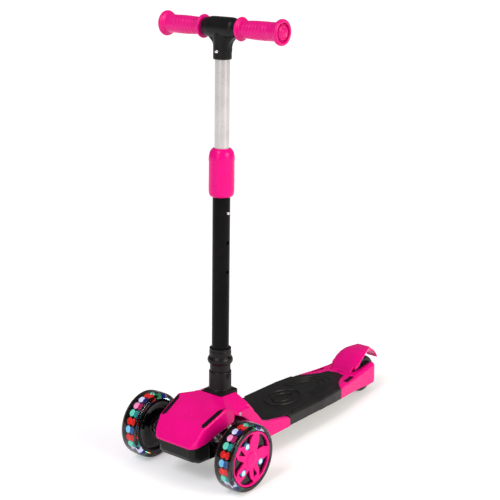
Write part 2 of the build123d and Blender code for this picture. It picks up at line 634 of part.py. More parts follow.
with BuildPart() as rear_axle:
    turn(hub, [(0, -AXLE_SEAT - 2.6), (5.4, -AXLE_SEAT - 2.6), (6.6, -AXLE_SEAT - 1.6), (6.6, -AXLE_SEAT),
               (AXLE_R, -AXLE_SEAT), (AXLE_R, AXLE_SEAT + 2.8), (0, AXLE_SEAT + 2.8)])
save(rear_axle, "rear_axle")
with BuildPart() as rear_nut:
    with BuildSketch(hub.offset(AXLE_SEAT)):
        RegularPolygon(6.6, 6)
        Circle(AXLE_R, mode=Mode.SUBTRACT)
    extrude(amount=2.6)
save(rear_nut, "rear_nut")

# ---------------------------------------------------------------- brake

# Fender centre line, from its foot over the tyre to the heel tab: behind the axle, height
FENDER_TOP = [(435.5, 53), (441, 56), (446, 63), (453, 70.5), (464, 79), (476, 84.5), (490, 87.5),
              (506, 87), (520, 86), (526, 81), (538, 73.5), (547, 64.5), (554.0, 54.5)]
FENDER_UNDER = [(550.4, 53.5), (544.6, 62.5), (536, 70), (524, 74), (506, 81), (490, 83.6), (478, 80.8),
                (466, 75.4), (456, 67), (450, 59.5), (446, 54), (446, 47), (441, 43), (436, 45)]
FENDER_PLAN = [(22.5, 430), (22.5, 452), (24, 466), (22, 490), (15, 515), (12.5, 530), (12, 556)]
FENDER_WING = [(0, 447), (29, 449), (30, 462), (27, 482), (20.5, 503), (12, 526), (0, 526)]
with BuildPart() as wing:
    side_slab(FENDER_TOP + FENDER_UNDER, -32, 32)
    plan_slab(FENDER_WING, 60, 120, Mode.INTERSECT)
with BuildPart() as fender:
    side_slab(FENDER_TOP + FENDER_UNDER, -30, 30)
    plan_slab([(0, 430)] + FENDER_PLAN + [(0, 556)], 0, 120, Mode.INTERSECT)
    add(wing.part)
    bar(sideways(0, back(BRAKE_PIN_Y), BRAKE_PIN_Z), 2.5 + RUNNING, -40, 40)
    box((-8, 8), (430, 460), (38, 53.4), Mode.SUBTRACT)
save(fender, "brake_fender")
with BuildPart() as plate:
    side_slab([(481, 81.4), (490, 83.3), (500, 81.8), (500, 80.2), (490, 81.7), (481, 79.8)], -14, 14)
save(plate, "brake_plate")
pivot = sideways(0, back(BRAKE_PIN_Y), BRAKE_PIN_Z)
with BuildPart() as brake_pin:
    bar(pivot, 2.5, -31.6, 31.6, Mode.ADD)
save(brake_pin, "brake_pin")
with BuildPart() as brake_spring:
    for turn_index in range(5):
        with BuildSketch(Plane(pivot.origin + Vector(turn_index * 2.6 - 5.2, 0, 0), (0, 1, 0), (0, 0, -1))):
            with Locations((3.7, 0)):
                Circle(0.8)
        revolve(axis=Axis(pivot.origin, (1, 0, 0)))
save(brake_spring, "brake_spring")

# ---------------------------------------------------------------- centring springs and screws

with BuildPart() as steer_springs:
    for name, side in SIDES:
        pin = kingpin(side * KINGPIN_X)
        for ring in range(4):
            with BuildSketch(Plane(pin.origin, pin.x_dir, pin.x_dir.cross(pin.z_dir))):
                with Locations((6.3, 2.1 * ring + 17.8)):
                    Circle(0.9)
            revolve(axis=Axis(pin.origin, pin.z_dir))
save(steer_springs, "steer_springs")

with BuildPart() as cover_screws:
    for name, side in SIDES:
        turn(sideways(0, back(SCREW_Y), SCREW_Z, side), [
            (0, 56), (1.6, 56), (1.6, ARM_X[1] + 0.1), (3, ARM_X[1] + 0.1), (3, ARM_X[1] + 1),
            (2.2, ARM_X[1] + 1.8), (0, ARM_X[1] + 1.8)])
save(cover_screws, "cover_screws")

with BuildPart() as bridge_bolts:
    for x, y in BRIDGE_BOLTS:
        turn(Plane((x, back(y), 0)), [
            (0, 46.5), (3.4, 46.5), (4.4, 47.5), (4.4, 50), (2.5, 50), (2.5, 59), (0, 59)])
save(bridge_bolts, "bridge_bolts")

with BuildPart() as socket_bolt:
    turn(column(FLANGE_Z), [(0, -44), (3, -44), (3, -25), (6, -25), (6, -22), (5, -21.2), (0, -21.2)])
save(socket_bolt, "socket_bolt")
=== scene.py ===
import json
import math
import bmesh
import bpy
from mathutils import Matrix, Vector
from mathutils.bvhtree import BVHTree


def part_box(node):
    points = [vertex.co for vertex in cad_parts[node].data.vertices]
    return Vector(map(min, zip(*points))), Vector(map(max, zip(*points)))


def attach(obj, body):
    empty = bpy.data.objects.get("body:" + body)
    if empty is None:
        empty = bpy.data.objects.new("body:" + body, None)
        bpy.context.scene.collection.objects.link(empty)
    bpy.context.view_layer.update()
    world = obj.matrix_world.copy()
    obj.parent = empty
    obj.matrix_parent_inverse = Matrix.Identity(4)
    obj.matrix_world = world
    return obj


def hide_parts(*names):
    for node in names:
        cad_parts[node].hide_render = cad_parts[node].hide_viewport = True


# Looks of the three-wheeled kick scooter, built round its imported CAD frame. Lengths inside the
# pieces are millimetres; each place() turns them into the frame's metres. +X is the rider's left.

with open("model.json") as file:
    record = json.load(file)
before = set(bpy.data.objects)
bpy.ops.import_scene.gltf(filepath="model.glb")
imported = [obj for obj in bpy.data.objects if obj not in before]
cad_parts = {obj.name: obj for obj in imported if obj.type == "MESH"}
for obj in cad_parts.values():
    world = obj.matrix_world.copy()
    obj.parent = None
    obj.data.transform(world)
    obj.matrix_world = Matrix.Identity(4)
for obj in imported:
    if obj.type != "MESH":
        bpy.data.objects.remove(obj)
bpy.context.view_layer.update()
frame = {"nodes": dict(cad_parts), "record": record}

MM = 0.001
SIDES = (("left", 1), ("right", -1))


# ------------------------------------------------------------------------------ places and outlines

def middle(node):
    """Centre of a CAD node's box."""
    low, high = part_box(node)
    return (low + high) / 2


def place(origin, out, across=(0, 1, 0)):
    """Local millimetres to the frame: Z along out, X near across."""
    z = Vector(out).normalized()
    y = z.cross(Vector(across)).normalized()
    turned = Matrix((y.cross(z), y, z)).transposed().to_4x4()
    return Matrix.Translation(Vector(origin)) @ turned @ Matrix.Scale(MM, 4)


LEVEL = Matrix.Scale(MM, 4)
FRONT_AXLE = middle("wheel_tyre_left").y / MM
AXIS_LOW = middle("foot_collar")
AXIS_HIGH = middle("clamp_collar")
COLUMN_DIR = (AXIS_HIGH - AXIS_LOW).normalized()


def behind(distance):
    """Y in millimetres of a point this far behind the front axle."""
    return FRONT_AXLE + distance


def column(z):
    """Place on the leaning column at height z, with Z up the column and X to the rider's left."""
    along = (z * MM - AXIS_LOW.z) / COLUMN_DIR.z
    return place(AXIS_LOW + COLUMN_DIR * along, COLUMN_DIR, (1, 0, 0))


def soften(outline, steps=5):
    """Closed outline whose corners with a third number are rounded over that length."""
    points = []
    for index, corner in enumerate(outline):
        here = Vector(corner[:2])
        if len(corner) < 3:
            points.append(here)
            continue
        before = (Vector(outline[index - 1][:2]) - here).normalized() * corner[2]
        after = (Vector(outline[(index + 1) % len(outline)][:2]) - here).normalized() * corner[2]
        for step in range(steps + 1):
            t = step / steps
            points.append(here + before * (1 - t) ** 2 + after * t ** 2)
    return points


def oval(a, b, steps):
    """Points of an ellipse with these half axes."""
    turns = [2 * math.pi * step / steps for step in range(steps)]
    return [(a * math.cos(turn), b * math.sin(turn)) for turn in turns]


# ------------------------------------------------------------------------------ meshes

def join_rings(mesh, rings, closed=True):
    """Faces between neighbouring rings, where a ring of one point is a pole."""
    for a, b in zip(rings, rings[1:] + rings[:1] if closed else rings[1:]):
        if len(a) == 1 and len(b) == 1:
            continue
        count = max(len(a), len(b))
        for step in range(count):
            after = (step + 1) % count
            corners = [a[step % len(a)], a[after % len(a)], b[after % len(b)], b[step % len(b)]]
            corners = list(dict.fromkeys(corners))
            if len(corners) > 2:
                mesh.faces.new(corners)


def lathe(mesh, at, outline, steps=96):
    """Turn a closed outline of (radius, height) about the place's Z."""
    rings = []
    for radius, height in soften(outline):
        if radius < 0.001:
            rings.append([mesh.verts.new(at @ Vector((0, 0, height)))])
            continue
        ring = []
        for step in range(steps):
            angle = 2 * math.pi * step / steps
            spot = Vector((radius * math.cos(angle), radius * math.sin(angle), height))
            ring.append(mesh.verts.new(at @ spot))
        rings.append(ring)
    join_rings(mesh, rings)


def prism(mesh, at, outline, low, high, bevel=0.0):
    """Extrude a closed outline along the place's Z, its two rims bevelled inwards."""
    points = soften(outline)
    heart = sum(points, Vector((0, 0))) / len(points)
    levels = [(low, bevel), (low + bevel, 0), (high - bevel, 0), (high, bevel)]
    if not bevel:
        levels = [(low, 0), (high, 0)]
    rings = []
    for height, inset in levels:
        shrunk = [p - (p - heart).normalized() * inset for p in points]
        rings.append([mesh.verts.new(at @ Vector((p.x, p.y, height))) for p in shrunk])
    join_rings(mesh, rings, closed=False)
    mesh.faces.new(rings[0])
    mesh.faces.new(list(reversed(rings[-1])))


def sweep(mesh, at, path, section, closed=False):
    """Carry a closed (across, up) section along a path of (x, y, lift) points near the place's XY plane."""
    rings = []
    for index, point in enumerate(path):
        last = path[index - 1] if index or closed else point
        after = path[(index + 1) % len(path)] if index + 1 < len(path) or closed else point
        ahead = Vector((after[0] - last[0], after[1] - last[1])).normalized()
        ring = []
        for across, up in section:
            spot = Vector((point[0] + ahead.y * across, point[1] - ahead.x * across, point[2] + up))
            ring.append(mesh.verts.new(at @ spot))
        rings.append(ring)
    join_rings(mesh, rings, closed)
    if not closed:
        mesh.faces.new(rings[0])
        mesh.faces.new(list(reversed(rings[-1])))


def new_object(name, mesh):
    """An object from a bmesh, with its normals outwards."""
    bmesh.ops.remove_doubles(mesh, verts=mesh.verts, dist=0.002 * MM)
    bmesh.ops.recalc_face_normals(mesh, faces=mesh.faces)
    data = bpy.data.meshes.new(name)
    mesh.to_mesh(data)
    mesh.free()
    obj = bpy.data.objects.new(name, data)
    bpy.context.scene.collection.objects.link(obj)
    return obj


def node_copy(name, node):
    """A new object with a copy of a CAD node's mesh."""
    mesh = bmesh.new()
    mesh.from_mesh(frame["nodes"][node].data)
    return new_object(name, mesh)


def settle(obj):
    """Apply an object's modifiers."""
    bpy.context.view_layer.update()
    seen = obj.evaluated_get(bpy.context.evaluated_depsgraph_get())
    data = bpy.data.meshes.new_from_object(seen)
    obj.modifiers.clear()
    obj.data = data


def combine(obj, operation, *meshes):
    """Join or cut an object with solids given as bmeshes."""
    tools = [new_object("tool", mesh) for mesh in meshes]
    for tool in tools:
        step = obj.modifiers.new("combine", "BOOLEAN")
        step.operation = operation
        step.solver = "EXACT"
        step.object = tool
    settle(obj)
    for tool in tools:
        bpy.data.objects.remove(tool)


def mould(obj, grain, passes, most=150000):
    """Turn a hard-edged solid into a moulded one: an even skin of this grain, relaxed, then thinned."""
    skin = obj.modifiers.new("skin", "REMESH")
    skin.mode = "VOXEL"
    skin.voxel_size = grain * MM
    relax = obj.modifiers.new("relax", "SMOOTH")
    relax.factor = 0.5
    relax.iterations = passes
    settle(obj)
    triangles = 2 * len(obj.data.polygons)
    if triangles > most:
        thin = obj.modifiers.new("thin", "DECIMATE")
        thin.ratio = most / triangles
        settle(obj)


def dress(obj, material, body, *nodes, sharp=40):
    """Finish a piece: smooth shading, material, the body that it rides on, the nodes it stands for."""
    obj.data.shade_smooth()
    obj.data.set_sharp_from_angle(angle=math.radians(sharp))
    obj.data.materials.clear()
    obj.data.materials.append(material)
    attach(obj, body)
    if nodes:
        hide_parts(*nodes)
    return obj


def turned(name, at, outline, material, body, *nodes, steps=96):
    """A piece made of one outline turned about the place's Z."""
    mesh = bmesh.new()
    lathe(mesh, at, outline, steps)
    return dress(new_object(name, mesh), material, body, *nodes)


# ------------------------------------------------------------------------------ materials

NOISE_LOW, NOISE_HIGH = 0.3, 0.7     # nearly all of a noise field lies between these


def nodes_of(name, slot):
    """A new node material and its shader, tree and object coordinates."""
    material = bpy.data.materials.new(name)
    material.use_nodes = True
    material["slot"] = slot
    tree = material.node_tree
    shader = tree.nodes["Principled BSDF"]
    coordinates = tree.nodes.new("ShaderNodeTexCoord").outputs["Object"]
    return material, tree, shader, coordinates


def field(tree, coordinates, size, detail=3.0, stretch=(1, 1, 1)):
    """Noise whose features are about this many millimetres."""
    spread = tree.nodes.new("ShaderNodeMapping")
    spread.inputs["Scale"].default_value = stretch
    tree.links.new(coordinates, spread.inputs["Vector"])
    noise = tree.nodes.new("ShaderNodeTexNoise")
    noise.inputs["Scale"].default_value = 1 / (size * MM)
    noise.inputs["Detail"].default_value = detail
    tree.links.new(spread.outputs["Vector"], noise.inputs["Vector"])
    return noise.outputs["Fac"]


def between(tree, value, low, high):
    """Spread a noise value over a range."""
    ranged = tree.nodes.new("ShaderNodeMapRange")
    ranged.inputs["From Min"].default_value = NOISE_LOW
    ranged.inputs["From Max"].default_value = NOISE_HIGH
    ranged.inputs["To Min"].default_value = low
    ranged.inputs["To Max"].default_value = high
    tree.links.new(value, ranged.inputs["Value"])
    return ranged.outputs["Result"]


def tint(tree, value, dark, light):
    """Colour that runs from dark to light with a noise value."""
    ramp = tree.nodes.new("ShaderNodeValToRGB")
    ramp.color_ramp.elements[0].position = NOISE_LOW
    ramp.color_ramp.elements[0].color = (*dark, 1)
    ramp.color_ramp.elements[1].position = NOISE_HIGH
    ramp.color_ramp.elements[1].color = (*light, 1)
    tree.links.new(value, ramp.inputs["Fac"])
    return ramp.outputs["Color"]


def relief(tree, shader, value, height):
    """Bump of this many millimetres from a height value."""
    bump = tree.nodes.new("ShaderNodeBump")
    bump.inputs["Distance"].default_value = height * MM
    bump.inputs["Strength"].default_value = 1.0
    tree.links.new(value, bump.inputs["Height"])
    tree.links.new(bump.outputs["Normal"], shader.inputs["Normal"])


def finish_material(name, dark, light, rough, grain, height, metallic=0.0, coat=0.0, specular=0.5,
                    stretch=(1, 1, 1), blotch=30.0, slot=None):
    """A moulded, painted or metal finish: blotchy colour, uneven roughness and a fine surface grain."""
    material, tree, shader, coordinates = nodes_of(name, slot or name)
    broad = field(tree, coordinates, blotch)
    fine = field(tree, coordinates, grain, 2.0, stretch)
    tree.links.new(tint(tree, broad, dark, light), shader.inputs["Base Color"])
    tree.links.new(between(tree, fine, *rough), shader.inputs["Roughness"])
    relief(tree, shader, fine, height)
    shader.inputs["Metallic"].default_value = metallic
    shader.inputs["Coat Weight"].default_value = coat
    shader.inputs["Coat Roughness"].default_value = 0.12
    shader.inputs["Specular IOR Level"].default_value = specular
    return material


def glow_material(name, colour, strength):
    """A light-emitting lens, or the painted glow round one, its colour a little paler where it is milky."""
    material, tree, shader, coordinates = nodes_of(name, "light_lens")
    milk = field(tree, coordinates, 2.5)
    pale = tuple(0.94 * c + 0.06 for c in colour)
    tree.links.new(tint(tree, milk, colour, pale), shader.inputs["Emission Color"])
    shader.inputs["Emission Strength"].default_value = strength
    shader.inputs["Base Color"].default_value = (*colour, 1)
    tree.links.new(between(tree, milk, 0.12, 0.3), shader.inputs["Roughness"])
    return material


def smoky_material():
    """Clear polyurethane with a smoke tint, slightly cloudy."""
    material, tree, shader, coordinates = nodes_of("tyre_clear", "tyre_clear")
    cloud = field(tree, coordinates, 9)
    tree.links.new(tint(tree, cloud, (0.055, 0.048, 0.05), (0.09, 0.08, 0.082)), shader.inputs["Base Color"])
    tree.links.new(between(tree, cloud, 0.04, 0.12), shader.inputs["Roughness"])
    shader.inputs["Transmission Weight"].default_value = 1.0
    shader.inputs["IOR"].default_value = 1.35
    relief(tree, shader, field(tree, coordinates, 3), 0.01)
    return material


PINK = finish_material("pink_gloss", (0.68, 0.0005, 0.18), (0.75, 0.001, 0.205), (0.2, 0.3), 1.6, 0.004,
                       coat=0.06, specular=0.12)
GRIP = finish_material("grip_pink", (0.64, 0.001, 0.17), (0.72, 0.002, 0.2), (0.22, 0.34), 0.8, 0.008,
                       specular=0.25)
BLACK = finish_material("black_plastic", (0.004, 0.0035, 0.004), (0.008, 0.007, 0.008), (0.3, 0.44),
                        0.7, 0.015, specular=0.2)
DECK = finish_material("deck_black", (0.007, 0.006, 0.007), (0.012, 0.011, 0.012), (0.36, 0.52),
                       0.9, 0.04, specular=0.3)
GLOSS_BLACK = finish_material("wheel_black", (0.002, 0.002, 0.002), (0.004, 0.003, 0.004), (0.08, 0.16),
                              2.0, 0.003, coat=0.15, specular=0.2, slot="black_plastic")
TYRE_BLACK = finish_material("tyre_black", (0.005, 0.005, 0.006), (0.009, 0.008, 0.009), (0.28, 0.42),
                             1.2, 0.012, specular=0.25)
PAINT = finish_material("black_paint", (0.003, 0.003, 0.003), (0.006, 0.005, 0.006), (0.22, 0.34),
                        0.6, 0.006, specular=0.06)
SILVER = finish_material("silver", (0.56, 0.54, 0.54), (0.64, 0.62, 0.62), (0.26, 0.36),
                         0.5, 0.006, metallic=0.72, stretch=(1, 1, 0.03))
BAR_SILVER = finish_material("bar_silver", (0.5, 0.49, 0.5), (0.58, 0.57, 0.58), (0.16, 0.24),
                             0.5, 0.005, metallic=1.0, stretch=(0.03, 1, 1), slot="silver")
CHROME = finish_material("chrome", (0.78, 0.78, 0.8), (0.86, 0.86, 0.88), (0.05, 0.12),
                         1.5, 0.003, metallic=1.0)
STEEL = finish_material("steel", (0.5, 0.5, 0.5), (0.62, 0.61, 0.6), (0.25, 0.4),
                        0.6, 0.006, metallic=1.0)
CAST = finish_material("cast", (0.32, 0.32, 0.33), (0.42, 0.42, 0.43), (0.45, 0.65),
                       1.1, 0.05, metallic=1.0)
SPRING = finish_material("spring_steel", (0.3, 0.3, 0.31), (0.42, 0.42, 0.42), (0.25, 0.4),
                         0.4, 0.006, metallic=1.0)
COPPER = finish_material("copper", (0.55, 0.2, 0.08), (0.72, 0.3, 0.13), (0.25, 0.4),
                         0.35, 0.06, metallic=1.0, stretch=(1, 0.05, 0.05))
MAGNET = finish_material("magnet", (0.06, 0.06, 0.065), (0.1, 0.1, 0.105), (0.4, 0.6),
                         0.5, 0.01, metallic=0.6)
SMOKE = smoky_material()
GLOWS = {
    "green": glow_material("glow_green", (0.0, 0.36, 0.11), 9),
    "red": glow_material("glow_red", (0.9, 0.004, 0.002), 10),
    "navy": glow_material("glow_navy", (0.004, 0.008, 0.28), 6),
    "magenta": glow_material("glow_magenta", (0.6, 0.0, 0.18), 8),
    "teal": glow_material("glow_teal", (0.0, 0.42, 0.42), 9),
    "blue": glow_material("glow_blue", (0.0, 0.14, 0.46), 9),
    "white": glow_material("glow_white", (0.6, 0.68, 0.95), 16),
    "mint": glow_material("glow_mint", (0.12, 0.75, 0.55), 14),
    "rose": glow_material("glow_rose", (0.9, 0.3, 0.6), 14),
    "sky": glow_material("glow_sky", (0.15, 0.6, 0.9), 14),
    "ice": glow_material("glow_ice", (0.36, 0.66, 0.86), 1.0),
    # painted glow: dim emission for the rings round the rim lenses, standing in for their light spilling
    # onto the cover
    "halo": glow_material("painted_glow_halo", (0.1, 0.22, 0.4), 0.5),
}
NODE_MATERIALS = {
    "pink_gloss": PINK, "grip_pink": GRIP, "black_plastic": BLACK, "deck_black": DECK,
    "tyre_clear": SMOKE, "tyre_black": TYRE_BLACK, "black_paint": PAINT, "silver": SILVER,
    "chrome": CHROME, "steel": STEEL, "cast": CAST, "spring_steel": SPRING,
    "light_lens": GLOWS["ice"], "copper": COPPER, "magnet": MAGNET,
}


def dress_nodes():
    """Give every CAD node the procedural material of its slot in the record. The cross tube's
    brushing runs along it."""
    for part in frame["record"]["subparts"]:
        node = frame["nodes"][part["node"]]
        for slot in node.material_slots:
            slot.material = NODE_MATERIALS[part["material_slot"]]
            if part["node"] == "cross_tube":
                slot.material = BAR_SILVER
        node.data.shade_smooth()
        node.data.set_sharp_from_angle(angle=math.radians(30))


# ------------------------------------------------------------------------------ stage

CAMERA_AZIMUTH = 39.216
CAMERA_ELEVATION = 15.996
CAMERA_DISTANCE = 2.1884
CAMERA_TARGET = Vector((0, -0.0975, 0.3714))
LENS = 89.0
FLOOR_HALF = 9000            # half its side
FLOOR_GLOW = 0.32            # lifts the floor to white in the light
SKY_SEEN = 1.0               # the sky's strength to the camera,
SKY_LIGHT = 0.55             # as light on the scene,
SKY_SHINE = 0.16             # and in reflections


def from_target(azimuth, elevation, distance, target=CAMERA_TARGET):
    """A point seen from the target at this azimuth and elevation, in degrees; azimuth 0 is towards -Y."""
    a = math.radians(azimuth)
    e = math.radians(elevation)
    away = Vector((math.sin(a) * math.cos(e), -math.cos(a) * math.cos(e), math.sin(e)))
    return target + away * distance


def add_camera():
    data = bpy.data.cameras.new("camera")
    data.lens = LENS
    data.sensor_width = 36.0
    camera = bpy.data.objects.new("camera", data)
    bpy.context.scene.collection.objects.link(camera)
    camera.location = from_target(CAMERA_AZIMUTH, CAMERA_ELEVATION, CAMERA_DISTANCE)
    camera.rotation_euler = (CAMERA_TARGET - camera.location).to_track_quat("-Z", "Y").to_euler()
    bpy.context.scene.camera = camera


def add_softbox(name, azimuth, elevation, distance, width, height, power):
    data = bpy.data.lights.new(name, "AREA")
    data.shape = "RECTANGLE"
    data.size = width
    data.size_y = height
    data.energy = power
    light = bpy.data.objects.new(name, data)
    bpy.context.scene.collection.objects.link(light)
    light.location = from_target(azimuth, elevation, distance)
    light.rotation_euler = (CAMERA_TARGET - light.location).to_track_quat("-Z", "Y").to_euler()


def add_sun(name, azimuth, elevation, strength, softness, colour):
    data = bpy.data.lights.new(name, "SUN")
    data.energy = strength
    data.color = colour
    data.angle = math.radians(softness)
    light = bpy.data.objects.new(name, data)
    bpy.context.scene.collection.objects.link(light)
    inwards = CAMERA_TARGET - from_target(azimuth, elevation, 1)
    light.rotation_euler = inwards.to_track_quat("-Z", "Y").to_euler()


def add_floor():
    mesh = bmesh.new()
    corners = [(-FLOOR_HALF, -FLOOR_HALF), (FLOOR_HALF, -FLOOR_HALF), (FLOOR_HALF, FLOOR_HALF),
               (-FLOOR_HALF, FLOOR_HALF)]
    prism(mesh, LEVEL, corners, -20, 0)
    floor = new_object("floor", mesh)
    material, tree, shader, coordinates = nodes_of("floor", "floor")
    tone = tint(tree, field(tree, coordinates, 400), (0.78, 0.78, 0.78), (0.8, 0.8, 0.8))
    tree.links.new(tone, shader.inputs["Base Color"])
    shader.inputs["Roughness"].default_value = 0.9
    shader.inputs["Specular IOR Level"].default_value = 0.1
    shader.inputs["Emission Color"].default_value = (1, 1, 1, 1)
    shader.inputs["Emission Strength"].default_value = FLOOR_GLOW
    floor.data.materials.append(material)


def add_world():
    """A white sky that is weaker as light, and weaker still in reflections."""
    world = bpy.data.worlds.new("studio")
    world.use_nodes = True
    tree = world.node_tree
    seen = tree.nodes["Background"]
    seen.inputs["Color"].default_value = (1, 1, 1, 1)
    seen.inputs["Strength"].default_value = SKY_SEEN
    lit = tree.nodes.new("ShaderNodeBackground")
    lit.inputs["Color"].default_value = (0.97, 0.98, 1, 1)
    lit.inputs["Strength"].default_value = SKY_LIGHT
    mirrored = tree.nodes.new("ShaderNodeBackground")
    mirrored.inputs["Strength"].default_value = SKY_SHINE
    mirrored.inputs["Color"].default_value = (1, 1, 1, 1)
    path = tree.nodes.new("ShaderNodeLightPath")
    unseen = tree.nodes.new("ShaderNodeMixShader")
    tree.links.new(path.outputs["Is Glossy Ray"], unseen.inputs["Fac"])
    tree.links.new(lit.outputs["Background"], unseen.inputs[1])
    tree.links.new(mirrored.outputs["Background"], unseen.inputs[2])
    mix = tree.nodes.new("ShaderNodeMixShader")
    tree.links.new(path.outputs["Is Camera Ray"], mix.inputs["Fac"])
    tree.links.new(unseen.outputs["Shader"], mix.inputs[1])
    tree.links.new(seen.outputs["Background"], mix.inputs[2])
    tree.links.new(mix.outputs["Shader"], tree.nodes["World Output"].inputs["Surface"])
    bpy.context.scene.world = world
    bpy.context.scene.view_settings.view_transform = "Standard"


# ------------------------------------------------------------------------------ front wheels

TYRE_R = 60.0
TYRE_HALF = 18.4
CORE_R = 50.6
POCKET_HALF = 10.4           # half the width of the light channel in the tread
BEADS = 22
BEAD_COLOURS = ("green", "red", "navy", "magenta", "teal", "red", "blue", "red", "teal", "white", "navy")
PALE_TWIN = {"green": "mint", "navy": "white", "magenta": "rose", "teal": "mint", "blue": "sky",
             "white": "white"}
FIRST_BEAD = 76.0            # degrees round the wheel
BEAD_ASIDE = 4.7             # of each twin from the tread's middle
BEAD_HALF_ACROSS = 4.9
BEAD_HALF_ALONG = 6.5
BEAD_TOP = 54.5
RIM_LIGHTS = (112, 222, 332)
RIM_LIGHT_R = 28.0


def wheel_place(name, side):
    """Place at a front wheel's centre, with Z out of its cover."""
    return place(middle(f"wheel_tyre_{name}"), (side, 0, 0))


def add_tyre(name, side):
    """Smoky clear tyre with a rounded crown, channelled for the light beads."""
    outline = [
        (CORE_R, -17.2), (55.6, -TYRE_HALF, 2.2), (58.9, -15.6, 2.2), (TYRE_R, -7, 4), (TYRE_R, 7, 4),
        (58.9, 15.6, 2.2), (55.6, TYRE_HALF, 2.2), (49.7, TYRE_HALF - 0.1, 0.4), (49.7, 17.1),
        (CORE_R, 17), (CORE_R, POCKET_HALF), (54.8, POCKET_HALF, 1.2), (54.8, -POCKET_HALF, 1.2),
        (CORE_R, -POCKET_HALF)]
    turned(f"tyre_{name}", wheel_place(name, side), outline, SMOKE, f"wheel_{name}",
           f"wheel_tyre_{name}", steps=144)


def add_core(name, side):
    """Gloss black wheel body with its tread seat and hub, and the dished cover on its inner face."""
    at = wheel_place(name, side)
    body = [
        (14.5, -15), (14.5, 9.5), (43, 9.5), (43, -15.5, 0.4), (45, -17.2, 0.6), (50, -17, 0.6),
        (50, 16.8, 0.3), (49.2, 16.8), (49.2, 12.6), (9, 12.6, 0.4), (9, 10.6), (11, 10.6), (11, 3.4),
        (9, 3.4), (9, -7.4), (11, -7.4), (11, -15, 0.4)]
    plate = [
        (14.5, -15.2), (16.8, -12.8, 1.2), (30, -11.8, 4), (40.5, -14.2, 2), (43, -15.6, 0.5),
        (43, -13.4), (40.5, -12.2, 2), (30, -10.2, 4), (17, -10.8, 1), (14.5, -10.8)]
    turned(f"wheel_body_{name}", at, body, GLOSS_BLACK, f"wheel_{name}", f"wheel_core_{name}", steps=144)
    turned(f"hub_plate_{name}", at, plate, GLOSS_BLACK, f"wheel_{name}", f"hub_dish_{name}", steps=144)


def dome(mesh, at, across, along, low, high, steps=16, rings=5):
    """A rounded lens on an oval base in the place's XY plane, from low to high."""
    loops = []
    for level in range(rings):
        lift = math.sin(0.5 * math.pi * level / rings)
        spread = math.cos(0.5 * math.pi * level / rings) ** 0.7
        loop = []
        for step in range(steps):
            a = 2 * math.pi * step / steps
            height = low + (high - low) * lift
            spot = Vector((across * spread * math.cos(a), along * spread * math.sin(a), height))
            loop.append(mesh.verts.new(at @ spot))
        loops.append(loop)
    loops.append([mesh.verts.new(at @ Vector((0, 0, high)))])
    join_rings(mesh, loops, closed=False)
    mesh.faces.new(loops[0])


def add_beads(name, side):
    """Twin light lenses all round the tread, the paler one of each pair towards the rider's right."""
    wheel = wheel_place(name, side)
    mesh = bmesh.new()
    for bead in range(BEADS):
        angle = math.radians(side * (FIRST_BEAD + bead * 360 / BEADS))
        out = wheel.to_3x3() @ Vector((math.cos(angle), math.sin(angle), 0))
        foot = place(wheel.translation, out, (1, 0, 0))
        for twin in (-1, 1):
            seat = foot @ Matrix.Translation((twin * BEAD_ASIDE, 0, 0))
            dome(mesh, seat, BEAD_HALF_ACROSS, BEAD_HALF_ALONG, CORE_R + 0.2, BEAD_TOP)
    lights = new_object(f"tread_beads_{name}", mesh)
    dress(lights, GLOWS["white"], f"wheel_{name}", f"tread_lights_{name}")
    palette = list(GLOWS)
    lights.data.materials.clear()
    for colour in palette:
        lights.data.materials.append(GLOWS[colour])
    for face in lights.data.polygons:
        local = wheel.inverted() @ face.center
        turn = math.degrees(math.atan2(side * local.y, local.x)) - FIRST_BEAD
        colour = BEAD_COLOURS[round(turn / 360 * BEADS) % BEADS % len(BEAD_COLOURS)]
        pale = face.center.x < wheel.translation.x and colour != "red"
        face.material_index = palette.index(PALE_TWIN[colour] if pale else colour)


def add_cover(name, side):
    """Pink five-spoke rim cover, moulded from its CAD shape with a raised ring at its rim."""
    wheel = wheel_place(name, side)
    cover = node_copy(f"rim_cover_{name}", f"wheel_cover_{name}")
    mesh = bmesh.new()
    lathe(mesh, wheel, [(46.2, 15, 0.3), (48.6, 15, 0.3), (48.6, 18.1, 0.8), (46.2, 18.1, 0.8)])
    combine(cover, "UNION", mesh)
    mould(cover, 0.55, 3, 120000)
    dress(cover, PINK, f"wheel_{name}", f"wheel_cover_{name}")


def add_rim_lights(name, side):
    """Three glowing lenses in the rim cover, each a bright dome in a dim glowing ring, which is painted
    glow: the lamp's light spilling onto the cover round it.
    """
    wheel = wheel_place(name, side)
    lenses = bmesh.new()
    rings = bmesh.new()
    for angle in RIM_LIGHTS:
        a = math.radians(angle)
        seat = wheel @ Matrix.Translation((RIM_LIGHT_R * math.cos(a), RIM_LIGHT_R * math.sin(a), 0))
        lathe(lenses, seat, [(0, 11), (4.2, 11), (4.2, 16.4, 1.2), (2.6, 17.6, 1), (0, 18)], 40)
        # painted glow round each lens: a dim emitting ring, not a lamp, for the lens light spilling onto the
        # cover
        lathe(rings, seat, [(4.25, 13), (5.6, 13), (5.9, 16.9, 0.5), (4.25, 17.3, 0.4)], 40)
    dress(new_object(f"rim_lenses_{name}", lenses), GLOWS["ice"], f"wheel_{name}", f"rim_lights_{name}")
    dress(new_object(f"rim_painted_halos_{name}", rings), GLOWS["halo"], f"wheel_{name}")


# ------------------------------------------------------------------------------ handlebar and column

GRIP_RIBS = 8
FIRST_RIB = 48.5             # from the scooter's middle
RIB_PITCH = 6.6
RIB_DEPTH = 0.75
GRIP_R = 13.9
GRIP_SWELL = 1.7
TEE_FOOT = 715               # this and the next three are heights on the column
CLAMP_FOOT = 484
COLLAR_FOOT = 170.5
COLLAR_HOLE = 198
TUBE_BORE = 12.75
BAR_BORE = 11.1
TEE_WEB_DROP = -12.0


